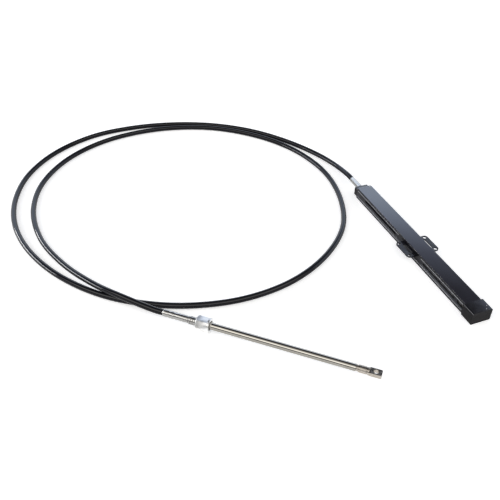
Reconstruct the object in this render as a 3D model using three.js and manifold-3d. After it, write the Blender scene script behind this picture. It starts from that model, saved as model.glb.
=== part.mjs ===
// Boat steering cable: a rack housing, a long conduit laid in loose turns, and a sliding output ram.
// Millimetres, +Z up. +Y runs along the housing to the end where the cable goes in.
// Sizes along Y below are measured from the line between the mounting ears. At the end the whole
// group is moved so that the origin is the middle of the housing's base.
import * as THREE from 'three';
import { mergeVertices } from 'three/addons/utils/BufferGeometryUtils.js';
import Module from 'manifold-3d';

const wasm = await Module();
wasm.setup();

// Gap between pieces that touch
const GAP = 0.3;
// How far the rack bar and the ram both slide
const TRAVEL = 228.6;

// Rack housing
const FLOOR_T = 2.5;
const WALL_IN = 17.8;
const WALL_OUT = 19.8;
const PLINTH_OUT = 20.6;
const PLINTH_H = 9.5;
const WALL_TOP = 25.2;
// The toothed bar stays over the pinion at both ends of its travel, which sets the housing's ends
const CABLE_END_ROOM = 39.4;
const CAP_END_SAVING = 10.6;
const HOUSING_END = TRAVEL + CABLE_END_ROOM;
const CAP_FACE = -(TRAVEL - CAP_END_SAVING);
const CABLE_Z = 15;

// Mounting ears, seen from above
const EAR_OUT = 44;
const EAR_HALF_LENGTH = 30.5;
const EAR_CORNER_R = 9;
const EAR_TOP = 22;
const EAR_T = 3;
const EAR_HOLE_D = 9;
const EAR_HOLE_X = 35.8;
const EAR_HOLE_Y = EAR_HALF_LENGTH - 7;
const EAR_SLOT_IN = 23.5;
const EAR_SLOT_OUT = 32;
const EAR_SLOT_HALF = EAR_HALF_LENGTH - 13;

// The channel is in three lengths, and the middle one has the ears and the pinion's opening
const MIDDLE_FROM = -(EAR_HALF_LENGTH + 15.5);
const MIDDLE_TO = EAR_HALF_LENGTH + 21;

// Openings in the side walls: [from y, to y, from z, to z]
const WALL_SLOTS = [
  [MIDDLE_TO + 14.5, HOUSING_END - 46, 14, 19.6],
  [CAP_FACE + 36, MIDDLE_FROM - 12, 13.4, 19.4],
];
const WALL_WINDOWS = [
  [-(EAR_HALF_LENGTH + 4.5), EAR_HALF_LENGTH + 6.5, 22.4, 30],
  [CAP_FACE + 5, CAP_FACE + 26, 12, 21],
];
const PINION_X = 6.1;
const PINION_HOLE_D = 23;

// Cover
const COVER_OUT = 20.7;
const COVER_TOP = 31;
const COVER_T = 2.5;
const COVER_CORNER_R = 4;
const LIP_T = 2.2;
const LIP_DEPTH = 4.7;
const LIP_FROM = CAP_FACE + 18;
const LIP_TO = HOUSING_END - 43;

// End cap
const CAP_HALF_W = 25.3;
const CAP_H = 32;
const CAP_WALL = 4;
const CAP_ROOF = 28.2;
const CAP_CORNER_R = 3;
const TAB_REACH = 12;
const SIDE_TAB_X = 14;
const SIDE_TAB_TOP = 22;
const ROOF_TAB_BASE = 24.5;

// Cable entry block
const ENTRY_PLUG_L = 12;
const ENTRY_HEAD_L = 15;
const ENTRY_HALF_W = 19.5;
const ENTRY_BASE = 0.6;
const ENTRY_TOP = 24.6;
const ENTRY_BORE_D = 5.5;

// Toothed bar
const BAR_LOW = -(TRAVEL + 12.4);
const CAP_L = CAP_FACE - BAR_LOW + 10.4;
const BAR_HIGH = 24;
const BAR_TOP = 18.8;
const BAR_BACK = -(WALL_IN - GAP);
const TOOTH_ROOT_X = -5;
const TOOTH_TIP_X = -1;
const TOOTH_PITCH = 7.15;
const TOOTH_FROM = BAR_LOW + 4;
const LUG_L = 10;
const TOOTH_COUNT = Math.floor((BAR_HIGH - LUG_L - 4 - TOOTH_FROM) / TOOTH_PITCH);
const LUG_X = 5;
const LUG_BASE = 9;
const WIRE_D = 4;

// Conduit and its ferrules
const CONDUIT_D = 14.2;
const CONDUIT_SIDES = 10;
const CONDUIT_STEPS = 80;
const FERRULE_D = 16;
const FERRULE_END_D = 15.4;
const RACK_FERRULE_L = 50;
const CRIMP_DEPTH = 0.2;
const CRIMP_W = 3;
const CRIMPS_AT = [14, 26];

// Output end. Lengths are distances along the ram from where the conduit ends.
const RAM_START = [-632, -2, 16.5];
const RAM_HEADING = THREE.MathUtils.degToRad(-41.6);
const RAM_FERRULE_L = 60;
const HUB_FROM = RAM_FERRULE_L + GAP;
const HUB_D = 18.4;
const HUB_GROOVE_D = 15.6;
const HUB_RING_W = 3.8;
const HUB_GROOVE_W = 1.2;
const HUB_NECK_D = 17;
const HUB_SHOULDER_D = 20;
const HUB_SHOULDER_T = 5.7;
const NUT_FROM = HUB_FROM + 19;
const NUT_L = 31.2;
const NUT_TO = NUT_FROM + NUT_L;
const NUT_BACK_T = 4.7;
const NUT_FLATS = 28.6;
const NUT_FLANGE_D = 33;
const NUT_FLANGE_T = 4.5;
const NUT_BORE_D = 21;
const HUB_NECK_TO = NUT_FROM + NUT_BACK_T + GAP;
const HUB_TO = HUB_NECK_TO + HUB_SHOULDER_T;
const GUIDE_D = 12.7;
const GUIDE_BORE_D = 9.5;
const GUIDE_FROM = HUB_FROM + 9.7;
const GUIDE_OVERLAP = 74.4;
const RAM_D = 15.875;
const RAM_BORE_D = 13.5;
const RAM_FROM = HUB_TO + 2;
const GUIDE_TO = RAM_FROM + TRAVEL + GUIDE_OVERLAP;
const TIP_PLUG_FROM = GUIDE_TO + 7;
const RAM_TO = TIP_PLUG_FROM + 19.5;
const TIP_NECK_D = 13.2;
const TIP_NECK_TO = RAM_TO + 4.7;
const TIP_BODY_TO = TIP_NECK_TO + 15.8;
const TIP_GROOVE_TO = TIP_BODY_TO + 1.8;
const TIP_RING_TO = TIP_GROOVE_TO + 4.5;
const TIP_END = TIP_RING_TO + 24.1;
const BLADE_T = 9;
const BLADE_CORNER_R = 2.5;
const TIP_HOLE_D = 10;
const TIP_HOLE_AT = TIP_END - 11.9;
const ROUND = 32;

// The conduit's centreline from the rack ferrule to the ram ferrule. It leaves both of them straight.
const CONDUIT_FROM = HOUSING_END + ENTRY_HEAD_L + RACK_FERRULE_L + 2 * GAP;
const STRAIGHT = 22;
const CONDUIT_ROUTE = [
  [0, CONDUIT_FROM, CABLE_Z], [0, CONDUIT_FROM + STRAIGHT, CABLE_Z], [-6, 432, 9.6], [-29, 512, 7.7],
  [-85, 620, 7.3], [-164, 720, 7.3], [-265, 798, 7.3], [-379, 848, 7.3],
  [-508, 872, 7.3], [-640, 862, 7.3], [-763, 800, 7.3], [-852, 701, 7.3],
  [-899, 586, 7.3], [-912, 470, 7.3], [-893, 350, 7.3], [-841, 229, 7.3],
  [-765, 128, 7.3], [-684, 62, 7.3], [-580, 11, 7.3], [-455, -13, 7.3],
  [-330, 3, 7.3], [-215, 60, 7.3], [-124, 149, 7.3], [-73, 258, 7.3],
  [-51, 373, 7.3], [-56, 463, 7.3], [-88, 571, 7.3], [-161, 684, 7.3],
  [-284, 785, 7.3], [-440, 833, 7.3], [-600, 820, 7.3], [-730, 751, 7.3],
  [-820, 640, 7.3], [-860, 510, 7.3], [-855, 370, 7.3], [-814, 246, 9.4],
  [-757, 139, 17.7], [-712, 76, 23.6],
  [
    RAM_START[0] - STRAIGHT * Math.cos(RAM_HEADING),
    RAM_START[1] - STRAIGHT * Math.sin(RAM_HEADING),
    RAM_START[2],
  ],
  RAM_START,
];

function toSolid(geometry) {
  geometry.deleteAttribute('normal');
  geometry.deleteAttribute('uv');
  const merged = mergeVertices(geometry, 1e-4);
  return new wasm.Manifold(new wasm.Mesh({
    numProp: 3,
    vertProperties: new Float32Array(merged.attributes.position.array),
    triVerts: new Uint32Array(merged.index.array),
  }));
}

function toGeometry(solid) {
  const mesh = solid.getMesh();
  const geometry = new THREE.BufferGeometry();
  geometry.setAttribute('position', new THREE.BufferAttribute(mesh.vertProperties, 3));
  geometry.setIndex(new THREE.BufferAttribute(mesh.triVerts, 1));
  geometry.computeVertexNormals();
  return geometry;
}

// Box between two x, two y and two z values
function block(x0, x1, y0, y1, z0, z1) {
  const geometry = new THREE.BoxGeometry(x1 - x0, y1 - y0, z1 - z0);
  return geometry.translate((x0 + x1) / 2, (y0 + y1) / 2, (z0 + z1) / 2);
}

function roundedRectangle(x0, x1, y0, y1, r) {
  const shape = new THREE.Shape();
  shape.moveTo(x0 + r, y0);
  shape.lineTo(x1 - r, y0);
  shape.absarc(x1 - r, y0 + r, r, -Math.PI / 2, 0);
  shape.lineTo(x1, y1 - r);
  shape.absarc(x1 - r, y1 - r, r, 0, Math.PI / 2);
  shape.lineTo(x0 + r, y1);
  shape.absarc(x0 + r, y1 - r, r, Math.PI / 2, Math.PI);
  shape.lineTo(x0, y0 + r);
  shape.absarc(x0 + r, y0 + r, r, Math.PI, Math.PI * 1.5);
  return shape;
}

function circle(x, y, d) {
  return new THREE.Path().absarc(x, y, d / 2, 0, Math.PI * 2);
}

// A shape drawn in X and Y, standing from z0 to z1
function upright(shape, z0, z1, curveSegments = 6) {
  const geometry = new THREE.ExtrudeGeometry(shape, { depth: z1 - z0, bevelEnabled: false, curveSegments });
  return geometry.translate(0, 0, z0);
}

// A shape drawn in X and Z, running from y0 to y1
function lengthwise(shape, y0, y1, curveSegments = 4) {
  const geometry = new THREE.ExtrudeGeometry(shape, { depth: y1 - y0, bevelEnabled: false, curveSegments });
  return geometry.rotateX(Math.PI / 2).translate(0, y1, 0);
}

// A shape drawn in Y and Z, running from x0 to x1
function sideways(shape, x0, x1, curveSegments = 5) {
  const geometry = new THREE.ExtrudeGeometry(shape, { depth: x1 - x0, bevelEnabled: false, curveSegments });
  return geometry.rotateX(Math.PI / 2).rotateZ(Math.PI / 2).translate(x0, 0, 0);
}

// A turned piece about the Y axis, from [distance, diameter] pairs in order of distance
function turned(outside, bore = []) {
  const points = outside.map(([at, d]) => new THREE.Vector2(d / 2, at));
  const inner = bore.map(([at, d]) => new THREE.Vector2(d / 2, at));
  const profile = [...points, ...inner];
  profile.push(profile[0].clone());
  return new THREE.LatheGeometry(profile, ROUND);
}

// The same about the X axis, for the output end
function turnedAlongX(outside, bore) {
  return turned(outside, bore).rotateZ(-Math.PI / 2);
}

function piece(name, geometry, material) {
  const mesh = new THREE.Mesh(geometry, material);
  mesh.name = name;
  return mesh;
}

function metal(color, roughness) {
  return new THREE.MeshStandardMaterial({ color, roughness, metalness: 1 });
}

function plastic(color, roughness) {
  return new THREE.MeshStandardMaterial({ color, roughness, metalness: 0 });
}

function channelProfile() {
  const shape = new THREE.Shape();
  shape.moveTo(-PLINTH_OUT, 0);
  shape.lineTo(PLINTH_OUT, 0);
  shape.lineTo(PLINTH_OUT, PLINTH_H);
  shape.lineTo(WALL_OUT, PLINTH_H + 0.8);
  shape.lineTo(WALL_OUT, WALL_TOP);
  shape.lineTo(WALL_IN, WALL_TOP);
  shape.lineTo(WALL_IN, FLOOR_T);
  shape.lineTo(-WALL_IN, FLOOR_T);
  shape.lineTo(-WALL_IN, WALL_TOP);
  shape.lineTo(-WALL_OUT, WALL_TOP);
  shape.lineTo(-WALL_OUT, PLINTH_H + 0.8);
  shape.lineTo(-PLINTH_OUT, PLINTH_H);
  return shape;
}

// One ear with its long slot and two bolt holes; side is 1 or -1
function ear(side) {
  const root = WALL_IN + 0.7;
  const shape = new THREE.Shape();
  shape.moveTo(root, -EAR_HALF_LENGTH);
  shape.lineTo(EAR_OUT - EAR_CORNER_R, -EAR_HALF_LENGTH);
  shape.absarc(EAR_OUT - EAR_CORNER_R, EAR_CORNER_R - EAR_HALF_LENGTH, EAR_CORNER_R, -Math.PI / 2, 0);
  shape.lineTo(EAR_OUT, EAR_HALF_LENGTH - EAR_CORNER_R);
  shape.absarc(EAR_OUT - EAR_CORNER_R, EAR_HALF_LENGTH - EAR_CORNER_R, EAR_CORNER_R, 0, Math.PI / 2);
  shape.lineTo(root, EAR_HALF_LENGTH);
  const slotR = (EAR_SLOT_OUT - EAR_SLOT_IN) / 2 - 0.1;
  shape.holes.push(roundedRectangle(EAR_SLOT_IN, EAR_SLOT_OUT, -EAR_SLOT_HALF, EAR_SLOT_HALF, slotR));
  shape.holes.push(circle(EAR_HOLE_X, EAR_HOLE_Y, EAR_HOLE_D));
  shape.holes.push(circle(EAR_HOLE_X, -EAR_HOLE_Y, EAR_HOLE_D));
  const plate = toSolid(upright(shape, EAR_TOP - EAR_T, EAR_TOP, 12));
  return side > 0 ? plate : plate.rotate([0, 0, 180]);
}

function wholeChannel() {
  let solid = toSolid(lengthwise(channelProfile(), CAP_FACE + GAP, HOUSING_END));
  solid = solid.add(ear(1)).add(ear(-1));
  for (const [y0, y1, z0, z1] of WALL_SLOTS) {
    const shape = roundedRectangle(y0, y1, z0, z1, (z1 - z0) / 2 - 0.1);
    solid = solid.subtract(toSolid(sideways(shape, -EAR_OUT, EAR_OUT)));
  }
  for (const [y0, y1, z0, z1] of WALL_WINDOWS) {
    solid = solid.subtract(toSolid(block(-EAR_OUT, EAR_OUT, y0, y1, z0, z1)));
  }
  const hole = new THREE.Shape().absarc(PINION_X, 0, PINION_HOLE_D / 2, 0, Math.PI * 2);
  return solid.subtract(toSolid(upright(hole, -1, FLOOR_T + 1, 16)));
}

// The length of the channel between two y values
function channelLength(y0, y1) {
  const keep = toSolid(block(-EAR_OUT - 1, EAR_OUT + 1, y0, y1, -1, WALL_TOP + 1));
  return toGeometry(wholeChannel().intersect(keep));
}

// The cover's outline, rounded at the cable's end
function coverOutline(inset) {
  const w = COVER_OUT - inset;
  const end = HOUSING_END - inset;
  const r = COVER_CORNER_R - inset;
  const shape = new THREE.Shape();
  shape.moveTo(-w, CAP_FACE + GAP);
  shape.lineTo(w, CAP_FACE + GAP);
  shape.lineTo(w, end - r);
  shape.absarc(w - r, end - r, r, 0, Math.PI / 2);
  shape.lineTo(-w + r, end);
  shape.absarc(-w + r, end - r, r, Math.PI / 2, Math.PI);
  return shape;
}

function rackCover() {
  const under = COVER_TOP - COVER_T;
  const skirt = toSolid(upright(coverOutline(0), WALL_TOP + GAP, COVER_TOP));
  const hollow = toSolid(upright(coverOutline(COVER_OUT - WALL_IN), 0, under));
  const sleeve = toSolid(block(-WALL_IN, WALL_IN, CAP_FACE - 1, CAP_FACE + 20, 0, under));
  let solid = skirt.subtract(hollow).subtract(sleeve);
  for (const side of [1, -1]) {
    const face = side * (WALL_IN - GAP);
    const back = side * (WALL_IN - GAP - LIP_T);
    const [x0, x1] = [Math.min(face, back), Math.max(face, back)];
    solid = solid.add(toSolid(block(x0, x1, LIP_FROM, LIP_TO, under - LIP_DEPTH, under + 0.5)));
  }
  return toGeometry(solid);
}

function endCap() {
  const outline = roundedRectangle(-CAP_HALF_W, CAP_HALF_W, 0, CAP_H, CAP_CORNER_R);
  const front = CAP_FACE - CAP_L;
  const inner = WALL_IN - GAP;
  const tabTo = CAP_FACE + TAB_REACH;
  const tabFrom = CAP_FACE - TAB_REACH;
  const base = FLOOR_T + GAP;
  let solid = toSolid(lengthwise(outline, front, CAP_FACE));
  const hollowFrom = front + CAP_WALL;
  solid = solid.subtract(toSolid(block(-WALL_IN, WALL_IN, hollowFrom, CAP_FACE + 1, FLOOR_T, CAP_ROOF)));
  // A side tab and a roof tab reach into the channel and locate the cap
  solid = solid.add(toSolid(block(SIDE_TAB_X, inner, tabFrom, tabTo, base, SIDE_TAB_TOP)));
  solid = solid.add(toSolid(block(SIDE_TAB_X, WALL_IN + 0.5, tabFrom, CAP_FACE - GAP, base, SIDE_TAB_TOP)));
  solid = solid.add(toSolid(block(-inner, inner, tabFrom, tabTo, ROOF_TAB_BASE, CAP_ROOF)));
  solid = solid.add(toSolid(block(-inner, inner, tabFrom, CAP_FACE - GAP, ROOF_TAB_BASE, CAP_ROOF + 0.5)));
  return toGeometry(solid);
}

function entryBlock() {
  const inner = WALL_IN - GAP;
  const headFrom = HOUSING_END + GAP;
  const plug = block(-inner, inner, HOUSING_END - ENTRY_PLUG_L, headFrom + 1, FLOOR_T + GAP, ENTRY_TOP);
  const outline = roundedRectangle(-ENTRY_HALF_W, ENTRY_HALF_W, ENTRY_BASE, ENTRY_TOP, 3);
  const head = lengthwise(outline, headFrom, HOUSING_END + ENTRY_HEAD_L);
  const bore = new THREE.Shape().absarc(0, CABLE_Z, ENTRY_BORE_D / 2, 0, Math.PI * 2);
  const cut = lengthwise(bore, HOUSING_END - 20, HOUSING_END + 20, 8);
  return toGeometry(toSolid(plug).add(toSolid(head)).subtract(toSolid(cut)));
}

// Crimped bands on a ferrule, as [distance, diameter] pairs
function crimps(centres, d) {
  return centres.flatMap((at) => [
    [at - CRIMP_W / 2 - 0.6, d],
    [at - CRIMP_W / 2, d - 2 * CRIMP_DEPTH],
    [at + CRIMP_W / 2, d - 2 * CRIMP_DEPTH],
    [at + CRIMP_W / 2 + 0.6, d],
  ]);
}

function rackFerrule() {
  const from = HOUSING_END + ENTRY_HEAD_L + GAP;
  const to = from + RACK_FERRULE_L;
  const outside = [
    [from, FERRULE_D + 1],
    [from + 4, FERRULE_D + 1],
    [from + 4.5, FERRULE_D],
    [to - 1, FERRULE_D],
    [to, FERRULE_END_D],
  ];
  return turned(outside, [[to, ENTRY_BORE_D], [from, ENTRY_BORE_D]]).translate(0, 0, CABLE_Z);
}

function toothedBar() {
  const shape = new THREE.Shape();
  shape.moveTo(BAR_BACK, BAR_LOW);
  shape.lineTo(TOOTH_ROOT_X, BAR_LOW);
  for (let i = 0; i < TOOTH_COUNT; i += 1) {
    const y = TOOTH_FROM + i * TOOTH_PITCH;
    shape.lineTo(TOOTH_ROOT_X, y);
    shape.lineTo(TOOTH_TIP_X, y + 0.2 * TOOTH_PITCH);
    shape.lineTo(TOOTH_TIP_X, y + 0.48 * TOOTH_PITCH);
    shape.lineTo(TOOTH_ROOT_X, y + 0.68 * TOOTH_PITCH);
  }
  shape.lineTo(TOOTH_ROOT_X, BAR_HIGH);
  shape.lineTo(BAR_BACK, BAR_HIGH);
  const bar = toSolid(upright(shape, FLOOR_T + GAP, BAR_TOP));
  const lug = toSolid(block(BAR_BACK + 1, LUG_X, BAR_HIGH - LUG_L, BAR_HIGH, LUG_BASE, BAR_TOP));
  return toGeometry(bar.add(lug));
}

function coreWire() {
  const section = new THREE.Shape().absarc(0, CABLE_Z, WIRE_D / 2, 0, Math.PI * 2);
  return lengthwise(section, BAR_HIGH + GAP, HOUSING_END - ENTRY_PLUG_L - GAP, 6);
}

function conduit() {
  const points = CONDUIT_ROUTE.map((p) => new THREE.Vector3(...p));
  const path = new THREE.CatmullRomCurve3(points, false, 'centripetal');
  path.arcLengthDivisions = 2000;
  const section = new THREE.Shape().absarc(0, 0, CONDUIT_D / 2, 0, Math.PI * 2);
  return new THREE.ExtrudeGeometry(section, {
    steps: CONDUIT_STEPS,
    curveSegments: CONDUIT_SIDES / 2,
    extrudePath: path,
  });
}

function ramFerrule() {
  return turnedAlongX([
    [GAP, 0],
    [GAP, FERRULE_END_D],
    [1.5, FERRULE_D + 0.4],
    ...crimps(CRIMPS_AT, FERRULE_D + 0.4),
    [RAM_FERRULE_L - 1, FERRULE_D - 0.4],
    [RAM_FERRULE_L, FERRULE_END_D - 0.4],
    [RAM_FERRULE_L, 0],
  ]);
}

function guideHub() {
  const bore = GUIDE_D + 2 * GAP;
  const outside = [[HUB_FROM, 0], [HUB_FROM, TIP_NECK_D]];
  let at = HUB_FROM + 1.7;
  outside.push([at, TIP_NECK_D]);
  for (let ring = 0; ring < 3; ring += 1) {
    outside.push([at + 0.2, HUB_D], [at + HUB_RING_W, HUB_D]);
    at += HUB_RING_W + HUB_GROOVE_W;
    outside.push([at - HUB_GROOVE_W + 0.2, HUB_GROOVE_D], [at, HUB_GROOVE_D]);
  }
  outside.push([at, HUB_NECK_D], [HUB_NECK_TO, HUB_NECK_D], [HUB_NECK_TO, HUB_SHOULDER_D]);
  outside.push([HUB_TO, HUB_SHOULDER_D]);
  return turnedAlongX(outside, [[HUB_TO, bore], [GUIDE_FROM - GAP, bore], [GUIDE_FROM - GAP, 0]]);
}

function couplingNut() {
  const hexR = NUT_FLATS / Math.sqrt(3);
  const section = new THREE.Shape();
  for (let i = 0; i < 6; i += 1) {
    const angle = (i * Math.PI) / 3;
    const corner = [hexR * Math.cos(angle), hexR * Math.sin(angle)];
    if (i === 0) section.moveTo(...corner);
    else section.lineTo(...corner);
  }
  const hex = toSolid(sideways(section, NUT_FROM, NUT_TO - 1));
  const envelope = toSolid(turnedAlongX([
    [NUT_FROM, 0], [NUT_FROM, NUT_FLATS - 1.2],
    [NUT_FROM + 3.2, NUT_FLANGE_D + 0.4], [NUT_TO, NUT_FLANGE_D + 0.4],
    [NUT_TO, 0],
  ]));
  const flange = toSolid(turnedAlongX([
    [NUT_TO - NUT_FLANGE_T, 0], [NUT_TO - NUT_FLANGE_T, NUT_FLANGE_D],
    [NUT_TO - 0.6, NUT_FLANGE_D], [NUT_TO, NUT_FLANGE_D - 1.2],
    [NUT_TO, 0],
  ]));
  const backBore = HUB_NECK_D + 2 * GAP;
  const backTo = NUT_FROM + NUT_BACK_T;
  const bore = toSolid(turnedAlongX([
    [NUT_FROM - 1, 0], [NUT_FROM - 1, backBore],
    [backTo, backBore], [backTo, NUT_BORE_D],
    [NUT_TO - 1.2, NUT_BORE_D], [NUT_TO + 0.3, NUT_BORE_D + 3],
    [NUT_TO + 0.3, 0],
  ]));
  return toGeometry(hex.intersect(envelope).add(flange).subtract(bore));
}

function guideTube() {
  return turnedAlongX(
    [[GUIDE_FROM, GUIDE_D], [GUIDE_TO, GUIDE_D]],
    [[GUIDE_TO, GUIDE_BORE_D], [GUIDE_FROM, GUIDE_BORE_D]],
  );
}

function ramTube() {
  return turnedAlongX(
    [[RAM_FROM, RAM_D], [RAM_TO, RAM_D]],
    [[RAM_TO, RAM_BORE_D], [RAM_FROM, RAM_BORE_D]],
  );
}

function ramTip() {
  const plugD = RAM_BORE_D - 2 * GAP;
  const shank = toSolid(turnedAlongX([
    [TIP_PLUG_FROM, 0], [TIP_PLUG_FROM, plugD],
    [RAM_TO + GAP, plugD], [RAM_TO + GAP, TIP_NECK_D],
    [TIP_NECK_TO, TIP_NECK_D], [TIP_NECK_TO, RAM_D],
    [TIP_BODY_TO, RAM_D], [TIP_BODY_TO, RAM_D - 1.7],
    [TIP_GROOVE_TO, RAM_D - 1.7], [TIP_GROOVE_TO, RAM_D],
    [TIP_RING_TO - 0.6, RAM_D], [TIP_RING_TO, RAM_D - 1.2],
    [TIP_RING_TO, 0],
  ]));
  const half = RAM_D / 2;
  const outline = roundedRectangle(TIP_RING_TO - 8, TIP_END, -half, half, BLADE_CORNER_R);
  outline.holes.push(circle(TIP_HOLE_AT, 0, TIP_HOLE_D));
  const blade = toSolid(upright(outline, -BLADE_T / 2, BLADE_T / 2, 12));
  const clear = toSolid(block(TIP_RING_TO - 0.5, TIP_END + 1, -half - 1, half + 1, -half, half));
  return toGeometry(shank.add(blade.intersect(clear)));
}

const blackPaint = metal(0x1b1c20, 0.45);
const glossBlack = plastic(0x25272e, 0.15);
const satinBlack = plastic(0x17171a, 0.5);
const conduitBlack = plastic(0x0d0d10, 0.25);
const zinc = metal(0xc9c9c6, 0.35);
const stainless = metal(0xb9b6b0, 0.15);
const darkSteel = metal(0x3a3a3c, 0.5);

const group = new THREE.Group();
group.position.y = -(CAP_FACE + HOUSING_END) / 2;
group.add(piece('channel_cable_end', channelLength(MIDDLE_TO + GAP, HOUSING_END), blackPaint.clone()));
group.add(piece('channel_middle', channelLength(MIDDLE_FROM, MIDDLE_TO), blackPaint.clone()));
group.add(piece('channel_cap_end', channelLength(CAP_FACE, MIDDLE_FROM - GAP), blackPaint.clone()));
group.add(piece('rack_cover', rackCover(), glossBlack.clone()));
group.add(piece('end_cap', endCap(), satinBlack.clone()));
group.add(piece('entry_block', entryBlock(), satinBlack.clone()));
group.add(piece('rack_ferrule', rackFerrule(), zinc.clone()));
group.add(piece('rack_bar', toothedBar(), darkSteel.clone()));
group.add(piece('core_wire', coreWire(), darkSteel.clone()));
group.add(piece('conduit', conduit(), conduitBlack.clone()));

const outputEnd = new THREE.Group();
outputEnd.position.set(...RAM_START);
outputEnd.rotation.z = RAM_HEADING;
outputEnd.add(piece('ram_ferrule', ramFerrule(), zinc.clone()));
outputEnd.add(piece('guide_hub', guideHub(), zinc.clone()));
outputEnd.add(piece('coupling_nut', couplingNut(), zinc.clone()));
outputEnd.add(piece('guide_tube', guideTube(), stainless.clone()));
outputEnd.add(piece('ram_tube', ramTube(), stainless.clone()));
outputEnd.add(piece('ram_tip', ramTip(), stainless.clone()));
group.add(outputEnd);

export default group;
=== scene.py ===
import math

import bmesh
import bpy
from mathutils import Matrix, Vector


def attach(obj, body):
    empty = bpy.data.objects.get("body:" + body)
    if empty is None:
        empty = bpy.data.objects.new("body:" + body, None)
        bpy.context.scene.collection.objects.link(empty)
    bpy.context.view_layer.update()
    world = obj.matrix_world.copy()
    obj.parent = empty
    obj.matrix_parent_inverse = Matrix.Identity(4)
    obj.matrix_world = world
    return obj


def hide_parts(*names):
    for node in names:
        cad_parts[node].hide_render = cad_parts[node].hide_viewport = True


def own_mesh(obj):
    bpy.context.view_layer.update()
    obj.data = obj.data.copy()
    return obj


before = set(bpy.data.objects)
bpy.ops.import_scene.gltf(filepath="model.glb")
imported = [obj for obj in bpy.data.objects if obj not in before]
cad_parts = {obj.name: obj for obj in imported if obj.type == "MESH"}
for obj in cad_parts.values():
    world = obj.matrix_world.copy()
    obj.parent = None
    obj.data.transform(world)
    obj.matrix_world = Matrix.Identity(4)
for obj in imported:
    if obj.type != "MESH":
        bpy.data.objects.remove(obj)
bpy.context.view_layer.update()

# The route is measured from the line between the ears, and the frame from the housing's middle
EAR_LINE_Y = -0.025

# Camera, from the photograph's perspective
CAMERA_AT = (-0.785, -0.969, 0.9425)
CAMERA_PITCH = math.radians(38.84)
CAMERA_HEADING = math.radians(-20.43)
SENSOR_MM = 36
FOCAL_LENGTH_IN_WIDTHS = 609.6 / 500
CLIP_START = 0.01

# Conduit
CONDUIT_D = 0.0142
CONDUIT_SIDES = 28
CURVE_STEPS = 12
CONDUIT_ROUTE = [
    (0, 0.3336, 0.015), (0, 0.3556, 0.015), (-0.006, 0.432, 0.0096),
    (-0.029, 0.512, 0.0077), (-0.085, 0.62, 0.0073), (-0.164, 0.72, 0.0073),
    (-0.265, 0.798, 0.0073), (-0.379, 0.848, 0.0073), (-0.508, 0.872, 0.0073),
    (-0.64, 0.862, 0.0073), (-0.763, 0.8, 0.0073), (-0.852, 0.701, 0.0073),
    (-0.899, 0.586, 0.0073), (-0.912, 0.47, 0.0073), (-0.893, 0.35, 0.0073),
    (-0.841, 0.229, 0.0073), (-0.765, 0.128, 0.0073), (-0.684, 0.062, 0.0073),
    (-0.58, 0.011, 0.0073), (-0.455, -0.013, 0.0073), (-0.33, 0.003, 0.0073),
    (-0.215, 0.06, 0.0073), (-0.124, 0.149, 0.0073), (-0.073, 0.258, 0.0073),
    (-0.051, 0.373, 0.0073), (-0.056, 0.463, 0.0073), (-0.088, 0.571, 0.0073),
    (-0.161, 0.684, 0.0073), (-0.284, 0.785, 0.0073), (-0.44, 0.833, 0.0073),
    (-0.6, 0.82, 0.0073), (-0.73, 0.751, 0.0073), (-0.82, 0.64, 0.0073),
    (-0.86, 0.51, 0.0073), (-0.855, 0.37, 0.0073), (-0.814, 0.246, 0.0094),
    (-0.757, 0.139, 0.0177), (-0.712, 0.076, 0.0236), (-0.64845, 0.01261, 0.0165),
    (-0.632, -0.002, 0.0165),
]

# Trim on the housing: beads along the walls and the plinth, a rivet in the cover, pins in the cap.
# Their pale colours are painted highlights.
# Each bead has its distance from the middle, its height, its radius, and its runs with their nodes.
CABLE_END = ((0.0525, 0.262), "channel_cable_end")
MIDDLE = ((-0.045, 0.0505), "channel_middle")
CAP_END = ((-0.212, -0.047), "channel_cap_end")
BEADS = (
    ("wall_bead", 0.0199, 0.0236, 0.0011, (CABLE_END, CAP_END)),
    ("plinth_bead", 0.0205, 0.0068, 0.0012, (CABLE_END, MIDDLE, CAP_END)),
)
BEAD_SIDES = 12
BEAD_SPANS = 4
RIVET_AT = (0.0150, 0.2375, 0.0311)
RIVET_R = 0.0018
PINS_AT = ((0.0185, -0.2634, 0.0320), (0.012, -0.2714, 0.0320))
PIN_R = 0.0009
DOME_AROUND = 24
DOME_UP = 12
DOME_HEIGHT = 0.45  # of its radius

# Degrees between two faces: above the first their edge is sharp, on tubes above the second, and
# below the third they are one face
SHARP_ABOVE = 32
TUBE_SHARP_ABOVE = 60
FLAT_BELOW = 1.5
# Points this near to each other are one. A seam takes in what lies within its reach.
WELD = 1e-6
SEAM_WELD = 1e-5
SEAM_REACH = 0.0004
SEAMS_AT = (-0.07115, 0.02665)


def make_camera():
    data = bpy.data.cameras.new("camera")
    data.sensor_width = SENSOR_MM
    data.lens = FOCAL_LENGTH_IN_WIDTHS * SENSOR_MM
    data.clip_start = CLIP_START
    camera = bpy.data.objects.new("camera", data)
    bpy.context.collection.objects.link(camera)
    camera.location = CAMERA_AT
    camera.rotation_euler = (math.pi / 2 - CAMERA_PITCH, 0, CAMERA_HEADING)
    bpy.context.scene.camera = camera


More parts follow.
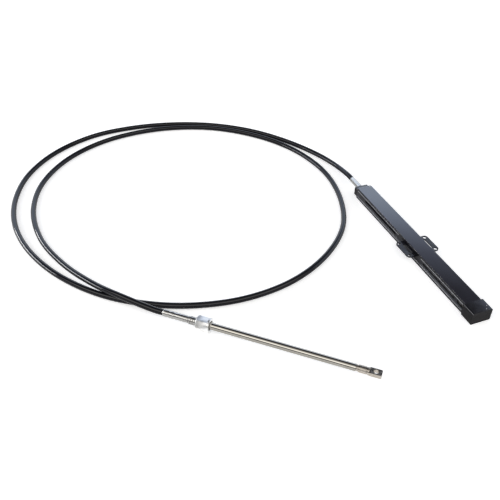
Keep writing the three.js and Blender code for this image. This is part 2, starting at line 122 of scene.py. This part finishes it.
def curve_through(points):
    """Points of a centripetal Catmull-Rom curve, the same curve as the CAD's."""
    points = [Vector(p) for p in points]
    ends = [points[0] * 2 - points[1], *points, points[-1] * 2 - points[-2]]
    line = []
    for a, b, c, d in zip(ends, ends[1:], ends[2:], ends[3:]):
        ab, bc, cd = ((q - p).length ** 0.5 for p, q in ((a, b), (b, c), (c, d)))
        leave = ((b - a) / ab - (c - a) / (ab + bc) + (c - b) / bc) * bc
        reach = ((c - b) / bc - (d - b) / (bc + cd) + (d - c) / cd) * bc
        for i in range(CURVE_STEPS):
            t = i / CURVE_STEPS
            square = (c - b) * 3 - leave * 2 - reach
            cube = (b - c) * 2 + leave + reach
            line.append(b + leave * t + square * t * t + cube * t ** 3)
    line.append(points[-1])
    return line


def smooth_by_angle(obj, degrees=SHARP_ABOVE):
    for polygon in obj.data.polygons:
        polygon.use_smooth = True
    obj.data.set_sharp_from_angle(angle=math.radians(degrees))


def make_tube(name, line, radius, sides):
    """A closed round tube along a line, with its rings turned as little as possible."""
    tube = bmesh.new()
    along = (line[1] - line[0]).normalized()
    across = along.cross(Vector((0, 0, 1))).normalized()
    rings = []
    for i, at in enumerate(line):
        ahead = (line[min(i + 1, len(line) - 1)] - line[max(i - 1, 0)]).normalized()
        across = (across - ahead * across.dot(ahead)).normalized()
        other = ahead.cross(across)
        ring = []
        for k in range(sides):
            turn = 2 * math.pi * k / sides
            out = across * math.cos(turn) + other * math.sin(turn)
            ring.append(tube.verts.new(at + out * radius))
        rings.append(ring)
    for ring, following in zip(rings, rings[1:]):
        for k in range(sides):
            m = (k + 1) % sides
            tube.faces.new((ring[k], ring[m], following[m], following[k]))
    tube.faces.new(list(reversed(rings[0])))
    tube.faces.new(rings[-1])
    data = bpy.data.meshes.new(name)
    bmesh.ops.recalc_face_normals(tube, faces=tube.faces)
    tube.to_mesh(data)
    tube.free()
    obj = bpy.data.objects.new(name, data)
    bpy.context.collection.objects.link(obj)
    smooth_by_angle(obj, TUBE_SHARP_ABOVE)
    return obj


def make_conduit():
    route = [(x, y + EAR_LINE_Y, z) for x, y, z in CONDUIT_ROUTE]
    line = curve_through(route)
    tube = make_tube("conduit_tube", line, CONDUIT_D / 2, CONDUIT_SIDES)
    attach(tube, "housing")
    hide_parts("conduit")
    return tube


# The studio's surroundings: (height as a sine, colour), low to high. The far side glows up to 33
# degrees and is dark from 44 degrees. The near side is grey up to 7 degrees, dark from 9 to 20,
# and has a soft pale screen that is brightest between 33 and 48 degrees.
FAR_SIDE = (
    (0.00, (0.50, 0.52, 0.56)),
    (0.45, (0.80, 0.88, 1.00)),
    (0.545, (0.76, 0.88, 1.10)),
    (0.575, (0.48, 0.55, 0.72)),
    (0.605, (0.22, 0.24, 0.32)),
    (0.64, (0.07, 0.07, 0.09)),
    (0.70, (0.016, 0.016, 0.020)),
    (0.82, (0.017, 0.017, 0.019)),
    (0.966, (0.035, 0.035, 0.035)),
    (1.00, (0.090, 0.089, 0.087)),
)
FAR_STRENGTH = 1.4
NEAR_SIDE = (
    (0.00, (0.30, 0.30, 0.30)),
    (0.13, (0.30, 0.30, 0.30)),
    (0.16, (0.022, 0.022, 0.022)),
    (0.34, (0.022, 0.022, 0.022)),
    (0.45, (0.28, 0.275, 0.265)),
    (0.55, (1.00, 0.98, 0.95)),
    (0.74, (1.00, 0.98, 0.95)),
    (0.85, (0.50, 0.49, 0.48)),
    (0.93, (0.25, 0.245, 0.24)),
    (1.00, (0.115, 0.114, 0.112)),
)
NEAR_STRENGTH = 1.8
# The near side turns into the far one between these, measured along the camera's heading
FAR_FROM = -0.05
FAR_TO = 0.05
FLOOR_HALF = 14
FLOOR_MIDDLE = (-0.4, 0, -0.0002)
STRIP_AT = (-3.6, 2.1, 1.3)
STRIP_AIM = (-0.8, 0.2, 0.0)
STRIP_SIZE = (2.6, 0.35)
STRIP_POWER = 60

# Noise values between which a look changes, how rough every noise is, and the same for the
# upward part of a face's direction and for how open a groove is
NOISE_SPAN = (0.35, 0.65)
NOISE_ROUGHNESS = 0.55
LEVEL_SPAN = (0.25, 0.85)
GROOVE_SPAN = (0.25, 0.85)
GROOVE_SAMPLES = 8


class Nodes:
    """A material's node tree, with short calls for what these materials use."""

    def __init__(self, name):
        self.material = bpy.data.materials.new(name)
        self.material.use_nodes = True
        self.tree = self.material.node_tree
        self.shader = self.tree.nodes["Principled BSDF"]

    def add(self, kind, **values):
        node = self.tree.nodes.new(kind)
        for key, value in values.items():
            setattr(node, key, value)
        return node

    def link(self, source, target):
        self.tree.links.new(source, target)

    def feed(self, socket, value):
        """Connects a value to one of the shader's sockets."""
        self.link(value, self.shader.inputs[socket])

    def set(self, **values):
        """Sets numbers and colours on the shader's own sockets."""
        for key, value in values.items():
            self.shader.inputs[key.replace("_", " ")].default_value = value

    def object_space(self, stretch=(1, 1, 1)):
        where = self.add("ShaderNodeTexCoord")
        mapping = self.add("ShaderNodeMapping")
        mapping.inputs["Scale"].default_value = stretch
        self.link(where.outputs["Object"], mapping.inputs["Vector"])
        return mapping.outputs["Vector"]

    def noise(self, vector, scale, detail):
        noise = self.add("ShaderNodeTexNoise")
        noise.inputs["Scale"].default_value = scale
        noise.inputs["Detail"].default_value = detail
        noise.inputs["Roughness"].default_value = NOISE_ROUGHNESS
        self.link(vector, noise.inputs["Vector"])
        return noise.outputs["Fac"]

    def spread(self, value, low, high, span=NOISE_SPAN):
        """Maps a value within a span, such as a noise's, to a number from low to high."""
        node = self.add("ShaderNodeMapRange")
        node.inputs["From Min"].default_value = span[0]
        node.inputs["From Max"].default_value = span[1]
        node.inputs["To Min"].default_value = low
        node.inputs["To Max"].default_value = high
        self.link(value, node.inputs["Value"])
        return node.outputs["Result"]

    def mottle(self, value, dark, light):
        """A colour from dark to light, after a noise value."""
        factor = self.spread(value, 0, 1)
        node = self.add("ShaderNodeMix", data_type="RGBA")
        node.inputs["A"].default_value = (*dark, 1)
        node.inputs["B"].default_value = (*light, 1)
        self.link(factor, node.inputs["Factor"])
        return node.outputs["Result"]

    def facing_up(self, sides, top):
        """A number for the upright faces that changes to another for the level ones."""
        normal = self.add("ShaderNodeNewGeometry").outputs["Normal"]
        split = self.add("ShaderNodeSeparateXYZ")
        self.link(normal, split.inputs["Vector"])
        return self.spread(split.outputs["Z"], sides, top, LEVEL_SPAN)

    def shade(self, color, factor):
        """A colour times a number."""
        node = self.add("ShaderNodeVectorMath", operation="MULTIPLY")
        self.link(color, node.inputs[0])
        self.link(factor, node.inputs[1])
        return node.outputs["Vector"]

    def painted_groove_shade(self, distance, darkest):
        """A number below one in narrow hollows and corners, for painting shade into a colour."""
        node = self.add("ShaderNodeAmbientOcclusion", samples=GROOVE_SAMPLES)
        node.inputs["Distance"].default_value = distance
        return self.spread(node.outputs["AO"], darkest, 1.0, GROOVE_SPAN)

    def bump(self, height, distance, strength):
        node = self.add("ShaderNodeBump")
        node.inputs["Distance"].default_value = distance
        node.inputs["Strength"].default_value = strength
        self.link(height, node.inputs["Height"])
        self.link(node.outputs["Normal"], self.shader.inputs["Normal"])


def gloss_black():
    m = Nodes("gloss_black")
    vector = m.object_space()
    clouds = m.noise(vector, scale=14, detail=3)
    smears = m.noise(m.object_space((60, 9, 60)), scale=1, detail=4)
    m.feed("Base Color", m.mottle(clouds, (0.008, 0.008, 0.010), (0.012, 0.012, 0.016)))
    m.feed("Roughness", m.spread(smears, 0.05, 0.09))
    m.feed("Specular IOR Level", m.facing_up(sides=0.08, top=1.0))
    m.feed("Coat Weight", m.facing_up(sides=0.0, top=0.9))
    m.set(Coat_Roughness=0.03)
    m.bump(clouds, distance=0.0002, strength=0.15)
    return m.material


def black_paint():
    m = Nodes("black_paint")
    vector = m.object_space()
    clouds = m.noise(vector, scale=40, detail=4)
    grain = m.noise(vector, scale=1400, detail=3)
    m.feed("Base Color", m.mottle(clouds, (0.006, 0.006, 0.008), (0.013, 0.013, 0.018)))
    m.feed("Roughness", m.spread(clouds, 0.18, 0.28))
    m.feed("Specular IOR Level", m.facing_up(sides=0.10, top=1.0))
    m.bump(grain, distance=0.00004, strength=0.4)
    return m.material


def satin_black():
    m = Nodes("satin_black")
    vector = m.object_space()
    clouds = m.noise(vector, scale=60, detail=3)
    grain = m.noise(vector, scale=2200, detail=3)
    m.feed("Base Color", m.mottle(clouds, (0.007, 0.0065, 0.007), (0.012, 0.011, 0.013)))
    m.feed("Roughness", m.spread(clouds, 0.15, 0.22))
    m.feed("Specular IOR Level", m.facing_up(sides=0.06, top=1.0))
    m.bump(grain, distance=0.00004, strength=0.2)
    return m.material


def conduit_black():
    m = Nodes("conduit_black")
    vector = m.object_space()
    clouds = m.noise(vector, scale=12, detail=3)
    grain = m.noise(vector, scale=240, detail=2)
    m.feed("Base Color", m.mottle(clouds, (0.004, 0.004, 0.006), (0.007, 0.007, 0.011)))
    m.feed("Roughness", m.spread(clouds, 0.04, 0.08))
    m.feed("Specular IOR Level", m.facing_up(sides=0.14, top=0.55))
    m.bump(grain, distance=0.00003, strength=0.12)
    return m.material


def zinc():
    m = Nodes("zinc")
    vector = m.object_space()
    clouds = m.noise(vector, scale=160, detail=5)
    grain = m.noise(vector, scale=2600, detail=3)
    color = m.mottle(clouds, (0.84, 0.84, 0.83), (0.92, 0.92, 0.91))
    # The base colour is darkened in hollows and corners by ambient occlusion: painted shade.
    m.feed("Base Color", m.shade(color, m.painted_groove_shade(distance=0.004, darkest=0.3)))
    m.feed("Roughness", m.spread(clouds, 0.33, 0.40))
    m.set(Metallic=1.0)
    m.bump(grain, distance=0.00002, strength=0.2)
    return m.material


def crimped_zinc():
    m = Nodes("crimped_zinc")
    vector = m.object_space()
    clouds = m.noise(vector, scale=220, detail=4)
    color = m.mottle(clouds, (0.56, 0.55, 0.53), (0.68, 0.67, 0.65))
    # The base colour is darker on upright and downward faces, and darker still in hollows and
    # corners by ambient occlusion: both are painted shade.
    side_shaded = m.shade(color, m.facing_up(sides=0.6, top=1.0))
    m.feed("Base Color", m.shade(side_shaded, m.painted_groove_shade(distance=0.003, darkest=0.5)))
    m.feed("Roughness", m.spread(clouds, 0.15, 0.22))
    m.set(Metallic=1.0)
    return m.material


def stainless():
    m = Nodes("stainless")
    vector = m.object_space()
    clouds = m.noise(vector, scale=50, detail=4)
    color = m.mottle(clouds, (0.60, 0.57, 0.51), (0.68, 0.65, 0.59))
    # The base colour is halved on the sides and underside, a painted shade that dims the floor's
    # reflection in the lower half of the ram and guide.
    m.feed("Base Color", m.shade(color, m.facing_up(sides=0.5, top=1.0)))
    m.feed("Roughness", m.spread(clouds, 0.03, 0.06))
    m.set(Metallic=1.0)
    return m.material


def forged_steel():
    m = Nodes("forged_steel")
    vector = m.object_space()
    clouds = m.noise(vector, scale=260, detail=5)
    color = m.mottle(clouds, (0.40, 0.36, 0.31), (0.52, 0.48, 0.43))
    # The base colour is darkened in hollows and corners by ambient occlusion: painted shade.
    m.feed("Base Color", m.shade(color, m.painted_groove_shade(distance=0.0035, darkest=0.2)))
    m.feed("Roughness", m.spread(clouds, 0.24, 0.36))
    m.set(Metallic=1.0)
    return m.material


def dark_steel():
    m = Nodes("dark_steel")
    vector = m.object_space()
    smears = m.noise(vector, scale=70, detail=5)
    m.feed("Base Color", m.mottle(smears, (0.03, 0.028, 0.026), (0.12, 0.12, 0.12)))
    m.feed("Roughness", m.spread(smears, 0.25, 0.5))
    m.set(Metallic=0.9)
    m.bump(smears, distance=0.0003, strength=0.5)
    return m.material


def painted_bead_highlight():
    """The paler colour of the beads along the channel's sides, a painted highlight for the light
    lines they catch, with a streaky random tone.
    """
    m = Nodes("painted_bead_highlight")
    highlight_streaks = m.noise(m.object_space((40, 6, 40)), scale=1, detail=5)
    m.feed("Base Color", m.mottle(highlight_streaks, (0.09, 0.09, 0.10), (0.24, 0.24, 0.25)))
    m.feed("Roughness", m.spread(highlight_streaks, 0.16, 0.3))
    m.set(Specular_IOR_Level=0.9)
    return m.material


# Pale domes: their pale colour is a painted highlight for the small white glints on the cover and
# the cap.
def painted_glint():
    m = Nodes("painted_glint")
    clouds = m.noise(m.object_space(), scale=900, detail=3)
    m.feed("Base Color", m.mottle(clouds, (0.62, 0.62, 0.60), (0.78, 0.78, 0.76)))
    m.set(Roughness=0.35)
    return m.material


def studio_floor():
    """A lit white table, which also glows a little from below."""
    m = Nodes("studio_floor")
    m.set(Base_Color=(0.9, 0.9, 0.9, 1), Roughness=0.9, Specular_IOR_Level=0.0)
    m.set(Emission_Color=(1, 1, 1, 1), Emission_Strength=0.5)
    return m.material


def close_seams(work, seams):
    """Joins lengths of one profile that the model keeps apart, at these y values."""
    for seam in seams:
        near = [v for v in work.verts if abs(v.co.y - seam) < SEAM_REACH]
        for vert in near:
            vert.co.y = seam
        ends = [f for f in work.faces if all(abs(v.co.y - seam) < SEAM_REACH for v in f.verts)]
        bmesh.ops.delete(work, geom=ends, context="FACES_ONLY")
        bmesh.ops.remove_doubles(work, verts=near, dist=SEAM_WELD)


def dress(nodes, name, body, material, edge, segments=3, seams=()):
    """A finished copy of one or more CAD nodes, with the sharp edges rounded to a width."""
    data = bpy.data.meshes.new(name)
    work = bmesh.new()
    for node in nodes:
        work.from_mesh(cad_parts[node].data)
    bmesh.ops.remove_doubles(work, verts=work.verts, dist=WELD)
    close_seams(work, seams)
    bmesh.ops.dissolve_limit(
        work, angle_limit=math.radians(FLAT_BELOW), verts=work.verts, edges=work.edges
    )
    work.to_mesh(data)
    work.free()
    obj = bpy.data.objects.new(name, data)
    bpy.context.collection.objects.link(obj)
    data.materials.append(material)
    if edge:
        bevel = obj.modifiers.new("edges", "BEVEL")
        bevel.width = edge
        bevel.segments = segments
        bevel.limit_method = "ANGLE"
        bevel.angle_limit = math.radians(SHARP_ABOVE)
        bevel.harden_normals = False
    smooth_by_angle(obj)
    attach(obj, body)
    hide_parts(*nodes)
    return obj


def make_floor():
    data = bpy.data.meshes.new("studio_floor")
    x, y, z = FLOOR_MIDDLE
    corners = ((-1, -1), (1, -1), (1, 1), (-1, 1))
    verts = [(x + i * FLOOR_HALF, y + j * FLOOR_HALF, z) for i, j in corners]
    data.from_pydata(verts, [], [(0, 1, 2, 3)])
    data.materials.append(studio_floor())
    floor = bpy.data.objects.new("studio_floor", data)
    bpy.context.collection.objects.link(floor)


def make_world():
    """Two screens round the table, one far and one near, that meet overhead."""
    world = bpy.data.worlds.new("studio")
    bpy.context.scene.world = world
    world.use_nodes = True
    tree = world.node_tree
    where = tree.nodes.new("ShaderNodeTexCoord").outputs["Generated"]
    split = tree.nodes.new("ShaderNodeSeparateXYZ")
    tree.links.new(where, split.inputs["Vector"])
    facing = tree.nodes.new("ShaderNodeVectorMath")
    facing.operation = "DOT_PRODUCT"
    facing.inputs[1].default_value = (-math.sin(CAMERA_HEADING), math.cos(CAMERA_HEADING), 0)
    tree.links.new(where, facing.inputs[0])
    side = tree.nodes.new("ShaderNodeMapRange")
    side.inputs["From Min"].default_value = FAR_FROM
    side.inputs["From Max"].default_value = FAR_TO
    tree.links.new(facing.outputs["Value"], side.inputs["Value"])
    join = tree.nodes.new("ShaderNodeMixShader")
    tree.links.new(side.outputs["Result"], join.inputs["Fac"])
    screens = ((NEAR_SIDE, NEAR_STRENGTH), (FAR_SIDE, FAR_STRENGTH))
    for i, (stops, strength) in enumerate(screens, 1):
        ramp = tree.nodes.new("ShaderNodeValToRGB")
        elements = ramp.color_ramp.elements
        while len(elements) < len(stops):
            elements.new(0.5)
        for element, (at, color) in zip(elements, stops):
            element.position = at
            element.color = (*color, 1)
        tree.links.new(split.outputs["Z"], ramp.inputs["Fac"])
        background = tree.nodes.new("ShaderNodeBackground")
        background.inputs["Strength"].default_value = strength
        tree.links.new(ramp.outputs["Color"], background.inputs["Color"])
        tree.links.new(background.outputs["Background"], join.inputs[i])
    tree.links.new(join.outputs["Shader"], tree.nodes["World Output"].inputs["Surface"])


def make_strip_lamp():
    """A long thin lamp to the left, seen as a white line along the conduit's left-hand loops."""
    data = bpy.data.lights.new("strip_lamp", "AREA")
    data.shape = "RECTANGLE"
    data.size, data.size_y = STRIP_SIZE
    data.energy = STRIP_POWER
    lamp = bpy.data.objects.new("strip_lamp", data)
    bpy.context.collection.objects.link(lamp)
    lamp.location = STRIP_AT
    facing = Vector(STRIP_AIM) - Vector(STRIP_AT)
    lamp.rotation_euler = facing.to_track_quat("-Z", "Y").to_euler()


def add_to(obj, body, node, material):
    """Puts a piece of trim on a body, beside the copy of the node it belongs to."""
    obj.data.materials.append(material)
    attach(obj, body)
    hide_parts(node)


def make_beads(material):
    """Round beads along both sides of the channel, over the windows and along the plinth."""
    for name, x, z, radius, runs in BEADS:
        for side, side_name in ((-1, "left"), (1, "right")):
            for (y0, y1), node in runs:
                steps = [y0 + (y1 - y0) * i / BEAD_SPANS for i in range(BEAD_SPANS + 1)]
                line = [Vector((side * x, y + EAR_LINE_Y, z)) for y in steps]
                run_name = node.removeprefix("channel_")
                bead = make_tube(f"{name}_{side_name}_{run_name}", line, radius, BEAD_SIDES)
                add_to(bead, "housing", node, material)


def make_dome(name, at, radius, node, material):
    """A low round head, as of a rivet or a pin."""
    work = bmesh.new()
    bmesh.ops.create_uvsphere(
        work, u_segments=DOME_AROUND, v_segments=DOME_UP, radius=radius
    )
    for vert in work.verts:
        vert.co.z *= DOME_HEIGHT
        vert.co += Vector(at)
    data = bpy.data.meshes.new(name)
    work.to_mesh(data)
    work.free()
    dome = bpy.data.objects.new(name, data)
    bpy.context.collection.objects.link(dome)
    smooth_by_angle(dome)
    add_to(dome, "housing", node, material)


bpy.context.scene.view_settings.view_transform = "Standard"
make_camera()
conduit = make_conduit()
conduit.data.materials.append(conduit_black())

make_floor()
make_world()
make_strip_lamp()

PAINT = black_paint()
COVER = gloss_black()
SATIN = satin_black()
ZINC = zinc()
CRIMPED = crimped_zinc()
STEEL = stainless()
FORGED = forged_steel()
DARK = dark_steel()

CHANNEL = ("channel_cable_end", "channel_middle", "channel_cap_end")
dress(CHANNEL, "housing_channel", "housing", PAINT, edge=0.0005, seams=SEAMS_AT)
dress(("rack_cover",), "housing_cover", "housing", COVER, edge=0.0008)
dress(("end_cap",), "housing_cap", "housing", SATIN, edge=0.0018, segments=4)
dress(("entry_block",), "cable_entry", "housing", SATIN, edge=0.0008)
dress(("rack_ferrule",), "entry_ferrule", "housing", CRIMPED, edge=0.0003)
dress(("ram_ferrule",), "output_ferrule", "housing", CRIMPED, edge=0.0003)
dress(("guide_hub",), "output_hub", "housing", CRIMPED, edge=0.0002)
dress(("guide_tube",), "output_guide", "housing", STEEL, edge=0.0002)
dress(("coupling_nut",), "output_nut", "nut", ZINC, edge=0.0005)
dress(("ram_tube",), "output_ram", "ram", STEEL, edge=0.0002)
dress(("ram_tip",), "output_tip", "ram", FORGED, edge=0.0003)
dress(("rack_bar",), "sliding_rack", "rack", DARK, edge=0.0003)
wire = dress(("core_wire",), "inner_wire", "housing", DARK, edge=0)
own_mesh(wire)

# The beads' pale colour is a painted highlight.
make_beads(painted_bead_highlight())
# The rivet and the pins are pale as a painted highlight.
PALE = painted_glint()
make_dome("cover_rivet", RIVET_AT, RIVET_R, "rack_cover", PALE)
for n, at in enumerate(PINS_AT):
    make_dome(f"cap_pin_{n}", at, PIN_R, "end_cap", PALE)

bpy.context.view_layer.update()
